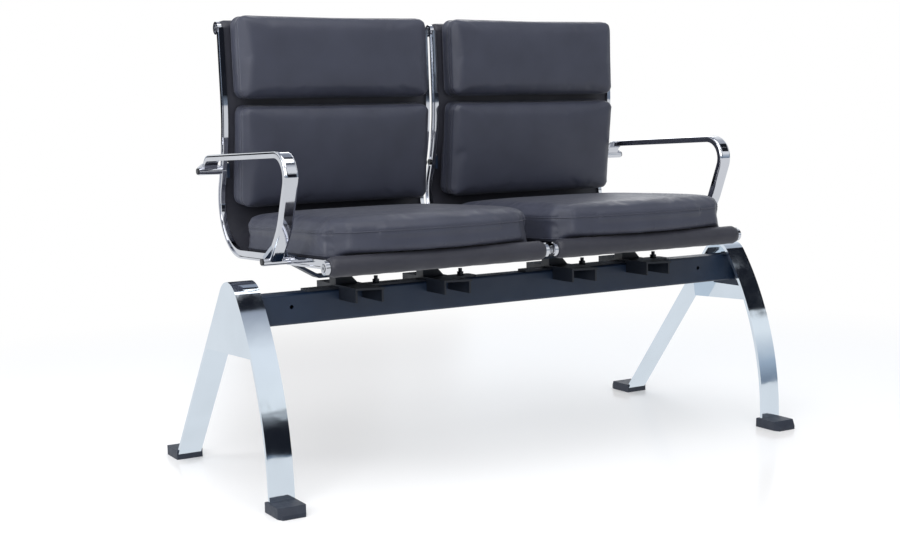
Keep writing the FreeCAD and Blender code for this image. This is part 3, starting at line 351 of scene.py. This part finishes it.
nodeFinish = [
    ("leg_strap", "leg"), ("leg_web", "leg"), ("side_rail", "rail"), ("armrest", "rail"),
    ("rod_screws", "screw"), ("front_rod", "screw"), ("top_rod", "screw"), ("leg_fixings", "screw"),
    ("arm_bolts", "cap"), ("shoe", "shoe"), ("beam_saddle", "mount"), ("beam", "beam"),
    ("mount", "mount"), ("spacer", "mount"),
    ("seat_stretcher", "beam"), ("back_stretcher", "beam"),
]


def dressNodes():
    for name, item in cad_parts.items():
        for start, finish in nodeFinish:
            if name.startswith(start):
                item.data.materials.clear()
                item.data.materials.append(metals[finish])
                break
    print("metal finishes set")


dressNodes()

# Places along a seat's side view, all in metres, as the rails carry them.

rail = {"frontY": -0.247, "lowZ": 0.435, "fall": 1.75, "bendStart": 0.148, "bendRadius": 0.110,
        "lumbarLean": 21.0, "lumbarRadius": 0.470, "backLean": 1.5, "topZ": 0.890,
        "seatPitch": 0.500, "span": 0.486, "thick": 0.009, "depth": 0.017}


def railCorners(offset):
    # Front end, bend start, bend end, start of the straight back and top end, inset by the offset.
    fall = math.radians(rail["fall"])
    lean = math.radians(rail["lumbarLean"])
    back = math.radians(rail["backLean"])
    inward = Vector((math.sin(fall), math.cos(fall)))
    front = Vector((rail["frontY"], rail["lowZ"]))
    reach = rail["bendStart"] - rail["frontY"]
    start = Vector((rail["bendStart"], rail["lowZ"] - math.tan(fall) * reach))
    centre = start + inward * rail["bendRadius"]
    spoke = Vector((math.cos(lean), math.sin(lean)))
    turn = centre + spoke * rail["bendRadius"]
    hub = turn + spoke * rail["lumbarRadius"]
    upper = Vector((-math.cos(back), math.sin(back)))
    rise = hub + upper * rail["lumbarRadius"]
    top = rise + Vector((math.tan(back), 1)) * (rail["topZ"] - rise.y)
    return {"front": front + inward * offset, "start": start + inward * offset, "centre": centre,
            "turn": turn - spoke * offset, "hub": hub, "rise": rise + upper * offset,
            "top": top + upper * offset}


def sidePath(offset, step=0.006):
    # Points along the rail at an offset, evenly spread, from the front end to the top.
    corner = railCorners(offset)
    points = []

    def addLine(a, b):
        count = max(2, round((b - a).length / step))
        for k in range(count):
            points.append(a.lerp(b, k / count))

    def addArc(middle, a, b):
        begin = math.atan2(a.y - middle.y, a.x - middle.x)
        end = math.atan2(b.y - middle.y, b.x - middle.x)
        turned = (end - begin + math.pi) % (2 * math.pi) - math.pi
        radius = (a - middle).length
        count = max(3, round(abs(turned) * radius / step))
        for k in range(count):
            angle = begin + turned * k / count
            points.append(middle + radius * Vector((math.cos(angle), math.sin(angle))))

    addLine(corner["front"], corner["start"])
    addArc(corner["centre"], corner["start"], corner["turn"])
    addArc(corner["hub"], corner["turn"], corner["rise"])
    addLine(corner["rise"], corner["top"])
    points.append(corner["top"])
    return points


seats = (("left", -rail["seatPitch"] / 2), ("right", rail["seatPitch"] / 2))
slingSize = {"thick": 0.004, "tuck": 0.0015}
slingFace = (rail["depth"] + slingSize["thick"]) / 2      # offset of the side that carries the pads


def lineFrame(point, lean):
    # A pad's own axes: along the sling and away from it, from its lean off level or upright.
    angle = math.radians(lean)
    along = Vector((0, math.cos(angle), math.sin(angle)))
    across = Vector((0, -math.sin(angle), math.cos(angle)))
    return Vector((0, point.x, point.y)), along, across


def padFrame(kind):
    corner = railCorners(slingFace)
    spec = pads[kind]
    if kind == "seat":
        direction = (corner["start"] - corner["front"]).normalized()
        point = corner["front"] + direction * (spec["low"] - corner["front"].x)
        return lineFrame(point, -rail["fall"])
    if kind == "head":
        direction = (corner["top"] - corner["rise"]).normalized()
        point = corner["rise"] + direction * (spec["low"] - corner["rise"].y) / direction.y
        return lineFrame(point, 90 - rail["backLean"])
    lean = math.radians(spec["lean"])
    touch = corner["hub"] - Vector((math.cos(lean), math.sin(lean))) * (rail["lumbarRadius"] + slingFace)
    point = touch + Vector((math.tan(lean), -1)) * (touch.y - spec["low"])
    return lineFrame(point, 90 + spec["lean"])


pads = {
    "seat": {"low": -0.272, "long": 0.454, "wide": 0.450, "thick": 0.070, "bow": 0.034, "crown": 0.009,
             "corner": 0.038, "edge": 0.013, "cap": 0.006, "seam": 0.018, "dent": 0.009},
    "lumbar": {"low": 0.527, "long": 0.209, "wide": 0.442, "thick": 0.050, "bow": 0.0, "crown": 0.007,
               "corner": 0.020, "edge": 0.007, "cap": 0.0045, "seam": 0.013, "dent": 0.0, "lean": 6.0},
    "head": {"low": 0.745, "long": 0.167, "wide": 0.442, "thick": 0.050, "bow": 0.0, "crown": 0.007,
             "corner": 0.020, "edge": 0.007, "cap": 0.0045, "seam": 0.013, "dent": 0.0},
}


padForm = {"baseRound": 0.6, "bowReach": 0.35, "foldPlace": 0.41, "foldSpread": 0.013, "foldShare": 0.7,
           "clear": 0.0004}
padMesh = {"cuts": 47, "voxel": 0.005, "softenShare": 0.5, "softenTimes": 4,
           "seamTube": 0.0014, "baseSeam": 0.010, "baseTube": 0.0011}
padPuff = {"frames": 20, "quality": 5, "mass": 0.3, "stretch": 15, "bend": 0.6, "pressure": 4,
           "seamReach": 0.014, "rim": 0.012}
padTuck = {"rim": 0.016, "pull": 0.0022, "spread": 0.0035, "corner": 0.03, "pucker": 0.0007,
           "waveUp": 420, "waveAcross": 60}
rollStep = {"rise": 0.0125, "start": 0.034, "run": 0.022}
lumbarDip = 0.007


def clearSelection():
    bpy.ops.object.select_all(action="DESELECT")


def makeActive(item):
    clearSelection()
    item.select_set(True)
    bpy.context.view_layer.objects.active = item


def applyAll(item):
    makeActive(item)
    for modifier in list(item.modifiers):
        bpy.ops.object.modifier_apply(modifier=modifier.name)


def smooth(item, angle=None):
    makeActive(item)
    if angle is None:
        bpy.ops.object.shade_smooth()
    else:
        bpy.ops.object.shade_smooth_by_angle(angle=math.radians(angle))


def slingRise(kind, run):
    # How far the sling stands off a pad's flat base line, which the base follows.
    spec = pads[kind]
    if kind == "seat":
        past = max(0, run - (rail["bendStart"] - spec["low"]))
        radius = rail["bendRadius"] - slingFace
        beforeRod = run - (rail["frontY"] - spec["low"])
        overRoll = rollStep["rise"] * max(0, min(1, (rollStep["start"] - beforeRod) / rollStep["run"]))
        return overRoll + radius - math.sqrt(max(0, radius ** 2 - min(past, radius) ** 2))
    if kind == "lumbar":
        corner = railCorners(slingFace)
        lean = math.radians(spec["lean"])
        radius = rail["lumbarRadius"] + slingFace
        touch = (corner["hub"].y - math.sin(lean) * radius - spec["low"]) / math.cos(lean)
        return -min(lumbarDip, (run - touch) ** 2 / (2 * radius))
    return 0


def shapePad(kind, point):
    # Moves a point of a unit block to its place in the pad: across the seat, along it and up.
    spec = pads[kind]
    half = spec["wide"] / 2
    side = point.x * 2 * half
    run = (point.y + 0.5) * spec["long"]
    lift = (point.z + 0.5) * spec["thick"]
    # Round the corners seen from above.
    radius = spec["corner"]
    middle = Vector((max(-half + radius, min(half - radius, side)),
                     max(radius, min(spec["long"] - radius, run))))
    away = Vector((side, run)) - middle
    if away.length > radius:
        side, run = middle + away.normalized() * radius
    # Round the edges of the face and of the base.
    rimSide = half - abs(side)
    rimRun = min(run, spec["long"] - run)
    rim = max(0, min(rimSide, rimRun))
    edge = spec["edge"]
    if rim < edge:
        drop = edge - math.sqrt(edge ** 2 - (edge - rim) ** 2)
        top = spec["thick"] - drop
        low = drop * padForm["baseRound"]
        lift = low + (top - low) * lift / spec["thick"]
    # Crown the face, bow the front and let the base follow the sling.
    level = lift / spec["thick"]
    across = max(0, 1 - (side / half) ** 4)
    along = max(0, 1 - (2 * run / spec["long"] - 1) ** 4)
    lift += spec["crown"] * across * along * level
    near = max(0, 1 - run / (padForm["bowReach"] * spec["long"]))
    # The front corners fold in softly.
    fold = math.hypot(half - abs(side), run) - padForm["foldPlace"] * radius
    dent = spec["dent"] * math.exp(-(fold / padForm["foldSpread"]) ** 2) * padForm["foldShare"]
    side -= math.copysign(dent, side)
    run += dent
    run += spec["bow"] * near * ((side / half) ** 2)
    lift += slingRise(kind, run) * (1 - level) + padForm["clear"]
    return Vector((side, run, lift))


def puffPad(kind, item):
    # Inflates the pad as cloth, then lets each point keep only as much as its place allows.
    spec = pads[kind]
    start = [vertex.co.copy() for vertex in item.data.vertices]
    cloth = item.modifiers.new("Cloth", "CLOTH")
    cloth.settings.quality = padPuff["quality"]
    cloth.settings.mass = padPuff["mass"]
    cloth.settings.tension_stiffness = padPuff["stretch"]
    cloth.settings.compression_stiffness = padPuff["stretch"]
    cloth.settings.bending_stiffness = padPuff["bend"]
    cloth.settings.use_pressure = True
    cloth.settings.uniform_pressure_force = padPuff["pressure"]
    cloth.settings.effector_weights.gravity = 0
    cloth.point_cache.frame_start = 1
    cloth.point_cache.frame_end = padPuff["frames"]
    for step in range(1, padPuff["frames"] + 1):
        bpy.context.scene.frame_set(step)
    puffed = item.evaluated_get(bpy.context.evaluated_depsgraph_get())
    after = [vertex.co.copy() for vertex in puffed.data.vertices]
    item.modifiers.remove(cloth)
    bpy.context.scene.frame_set(1)
    half = spec["wide"] / 2
    for vertex, old, new in zip(item.data.vertices, start, after):
        level = old.z / spec["thick"]
        seamGap = abs(old.z - (spec["thick"] - spec["seam"]))
        rim = min(half - abs(old.x), old.y, spec["long"] - old.y)
        hold = min(1, seamGap / padPuff["seamReach"]) if rim < padPuff["rim"] else 1.0
        cap = spec["cap"] * hold * min(1, max(0, level - 0.05) * 2)
        move = new - old
        if move.length > cap:
            move = move.normalized() * cap
        vertex.co = old + move


def seamLoop(kind, item, level, name, radius):
    # A piped seam: the ring where the pad meets a flat cut at a height, made a thin tube.
    clearSelection()
    ring = item.copy()
    ring.data = item.data.copy()
    bpy.context.collection.objects.link(ring)
    makeActive(ring)
    bpy.ops.object.mode_set(mode="EDIT")
    bpy.ops.mesh.select_all(action="SELECT")
    bpy.ops.mesh.bisect(plane_co=(0, 0, level), plane_no=(0, 0, 1), clear_inner=True, clear_outer=True)
    bpy.ops.object.mode_set(mode="OBJECT")
    bpy.ops.object.convert(target="CURVE")
    ring = bpy.context.object
    ring.name = name
    ring.data.bevel_depth = radius
    ring.data.bevel_resolution = 2
    bpy.ops.object.convert(target="MESH")
    return bpy.context.object


def placePad(kind, item, seatX):
    origin, along, across = padFrame(kind)
    for vertex in item.data.vertices:
        side, run, lift = vertex.co
        vertex.co = Vector((seatX + side, 0, 0)) + origin + along * run + across * lift


def tightenSeam(kind, item):
    # The stitching draws the boxing in along the seam, and the corners pucker a little.
    spec = pads[kind]
    seam = spec["thick"] - spec["seam"]
    half = spec["wide"] / 2
    centre = Vector((0, spec["long"] / 2))
    for vertex in item.data.vertices:
        rimSide = half - abs(vertex.co.x)
        rimRun = min(vertex.co.y, spec["long"] - vertex.co.y)
        if min(rimSide, rimRun) > padTuck["rim"]:
            continue
        pull = padTuck["pull"] * math.exp(-((vertex.co.z - seam) / padTuck["spread"]) ** 2)
        corner = math.hypot(rimSide - padTuck["corner"], rimRun - padTuck["corner"])
        wave = math.sin(vertex.co.z * padTuck["waveUp"] + vertex.co.x * padTuck["waveAcross"])
        pull += padTuck["pucker"] * wave * math.exp(-(corner / padTuck["corner"]) ** 2)
        outward = (Vector((vertex.co.x, vertex.co.y)) - centre).normalized()
        vertex.co.x -= outward.x * pull
        vertex.co.y -= outward.y * pull


def makePad(kind):
    spec = pads[kind]
    clearSelection()
    bpy.ops.mesh.primitive_cube_add(size=1, location=(0, 0, 0))
    item = bpy.context.object
    bpy.ops.object.mode_set(mode="EDIT")
    bpy.ops.mesh.subdivide(number_cuts=padMesh["cuts"])
    bpy.ops.object.mode_set(mode="OBJECT")
    for vertex in item.data.vertices:
        vertex.co = shapePad(kind, vertex.co)
    remesh = item.modifiers.new("Remesh", "REMESH")
    remesh.mode = "VOXEL"
    remesh.voxel_size = padMesh["voxel"]
    applyAll(item)
    puffPad(kind, item)
    soften = item.modifiers.new("Smooth", "SMOOTH")
    soften.factor = padMesh["softenShare"]
    soften.iterations = padMesh["softenTimes"]
    fine = item.modifiers.new("Subdivision", "SUBSURF")
    fine.levels = 1
    fine.render_levels = 1
    applyAll(item)
    tightenSeam(kind, item)
    return item


def seatCopy(kind, model, seatX, name):
    item = model.copy()
    item.data = model.data.copy()
    item.name = name
    bpy.context.collection.objects.link(item)
    placePad(kind, item, seatX)
    smooth(item)
    item.data.materials.clear()
    item.data.materials.append(leather["pad"])
    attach(item, "root")
    return item


def makePads():
    for kind, spec in pads.items():
        model = makePad(kind)
        seam = seamLoop(kind, model, spec["thick"] - spec["seam"], kind + "Seam", padMesh["seamTube"])
        base = seamLoop(kind, model, padMesh["baseSeam"], kind + "BaseSeam", padMesh["baseTube"])
        for label, seatX in seats:
            cushion = seatCopy(kind, model, seatX, kind + "Pad_" + label)
            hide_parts(kind + "_pad_" + label)
            seatCopy(kind, seam, seatX, kind + "Seam_" + label)
            seatCopy(kind, base, seatX, kind + "BaseSeam_" + label)
        for spare in (model, seam, base):
            bpy.data.objects.remove(spare)
        print("pads made:", kind)


# Slings: one stretched sheet of leather per seat, with a padded roll round each cross rod.

rolls = {
    "front": {"radius": 0.0195, "set": 0.002, "edge": 0.006, "flat": 0.0012},
    "top": {"radius": 0.0160, "set": -0.006, "edge": 0.005, "flat": 0.0008},
}
slingLook = {"columns": 36, "sag": 0.0025, "sagSpread": 0.11, "rodRadius": 0.0106, "endGap": 0.0006,
             "rollRows": 72, "rollSides": 60, "rowSpare": 0.002, "smoothAngle": 40,
             "rodZone": 0.020, "rodInset": 0.0005, "boltZone": 0.018, "boltInset": 0.0068}
rollEnd = {"share": 0.16, "round": 0.7, "ripple": 0.00025, "waves": 31}
bolts = {"front": (-0.085, 0.4386), "rear": (0.2355, 0.600)}


def rollCentre(kind):
    corner = railCorners(rolls[kind]["set"])
    return corner["front"] if kind == "front" else corner["top"]


def edgeInset(point):
    # How far the sheet's edges keep inside the rails, which is less than nothing in the grooves.
    inset = -slingSize["tuck"]
    for kind in rolls:
        if (point - rollCentre(kind)).length < slingLook["rodZone"]:
            inset = slingLook["rodInset"]
    for place in bolts.values():
        if (point - Vector(place)).length < slingLook["boltZone"]:
            inset = slingLook["boltInset"]
    return inset


def makeSheet(seatX, name):
    clear = slingLook["rodRadius"] + slingLook["rowSpare"]
    path = [point for point in sidePath(rail["depth"] / 2)
            if all((point - rollCentre(kind)).length > clear for kind in rolls)]
    half = rail["span"] / 2 - rail["thick"]
    bend = railCorners(0)["centre"]
    columns = slingLook["columns"]
    clearSelection()
    bpy.ops.mesh.primitive_grid_add(x_subdivisions=columns, y_subdivisions=len(path) - 1, size=1)
    item = bpy.context.object
    item.name = name
    for vertex in item.data.vertices:
        row = round((vertex.co.y + 0.5) * (len(path) - 1))
        side = vertex.co.x * 2
        point = path[row]
        ahead = (path[min(row + 1, len(path) - 1)] - path[max(row - 1, 0)]).normalized()
        off = (point - bend).length - rail["bendRadius"]
        sag = slingLook["sag"] * (1 - side ** 2) * math.exp(-(off / slingLook["sagSpread"]) ** 2)
        place = point + Vector((-ahead.y, ahead.x)) * sag
        vertex.co = Vector((seatX + side * (half - edgeInset(point)), place.x, place.y))
    thick = item.modifiers.new("Solidify", "SOLIDIFY")
    thick.thickness = slingSize["thick"]
    thick.offset = 0
    applyAll(item)
    smooth(item, slingLook["smoothAngle"])
    length = sum((b - a).length for a, b in zip(path, path[1:]))
    return item, (2 * (half + slingSize["tuck"]), length)


def makeRoll(kind, seatX, name):
    # A stuffed tube with soft ends, flattened a little where it was sewn shut below.
    spec = rolls[kind]
    centre = rollCentre(kind)
    half = rail["span"] / 2 - rail["thick"] - slingLook["endGap"]
    rows = slingLook["rollRows"]
    sides = slingLook["rollSides"]
    clearSelection()
    bpy.ops.mesh.primitive_grid_add(x_subdivisions=rows, y_subdivisions=sides, size=1)
    item = bpy.context.object
    item.name = name
    for vertex in item.data.vertices:
        step = vertex.co.x * 2
        # The rows past the end stay there, and close it down to the rod.
        past = abs(step) * (1 + rollEnd["share"])
        run = math.copysign(min(1, past), step)
        turn = (vertex.co.y + 0.5) * 2 * math.pi
        depth = max(0, past - 1) / rollEnd["share"]
        reach = spec["radius"] - (spec["radius"] - slingLook["rodRadius"]) * depth
        nearEnd = (1 - abs(run)) * half
        if depth > 0:
            reach = min(reach, spec["radius"] - spec["edge"] * rollEnd["round"] * (1 - depth))
        elif nearEnd < spec["edge"]:
            drop = 1 - nearEnd / spec["edge"]
            reach -= spec["edge"] * (1 - math.sqrt(max(0, 1 - drop ** 2))) * rollEnd["round"]
        reach -= spec["flat"] * max(0, -math.sin(turn)) ** 6
        reach += rollEnd["ripple"] * math.sin(run * rollEnd["waves"] + math.sin(turn * 3) * 2) * (1 - depth)
        vertex.co = Vector((seatX + run * half, centre.x + math.cos(turn) * reach,
                            centre.y + math.sin(turn) * reach))
    makeActive(item)
    bpy.ops.object.mode_set(mode="EDIT")
    bpy.ops.mesh.select_all(action="SELECT")
    bpy.ops.mesh.remove_doubles(threshold=0.00001)
    bpy.ops.mesh.normals_make_consistent(inside=False)
    bpy.ops.object.mode_set(mode="OBJECT")
    wall = item.modifiers.new("Solidify", "SOLIDIFY")
    wall.thickness = 0.0004
    wall.offset = -1
    applyAll(item)
    smooth(item)
    return item


def makeSlings():
    for label, seatX in seats:
        sheet, cut = makeSheet(seatX, "slingSheet_" + label)
        pieces = [sheet] + [makeRoll(kind, seatX, kind + "Roll_" + label) for kind in rolls]
        for piece in pieces:
            piece.data.materials.clear()
            piece.data.materials.append(leather["sling"])
            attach(piece, "root")
            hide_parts("sling_" + label)
    print("slings made")


makePads()
makeSlings()
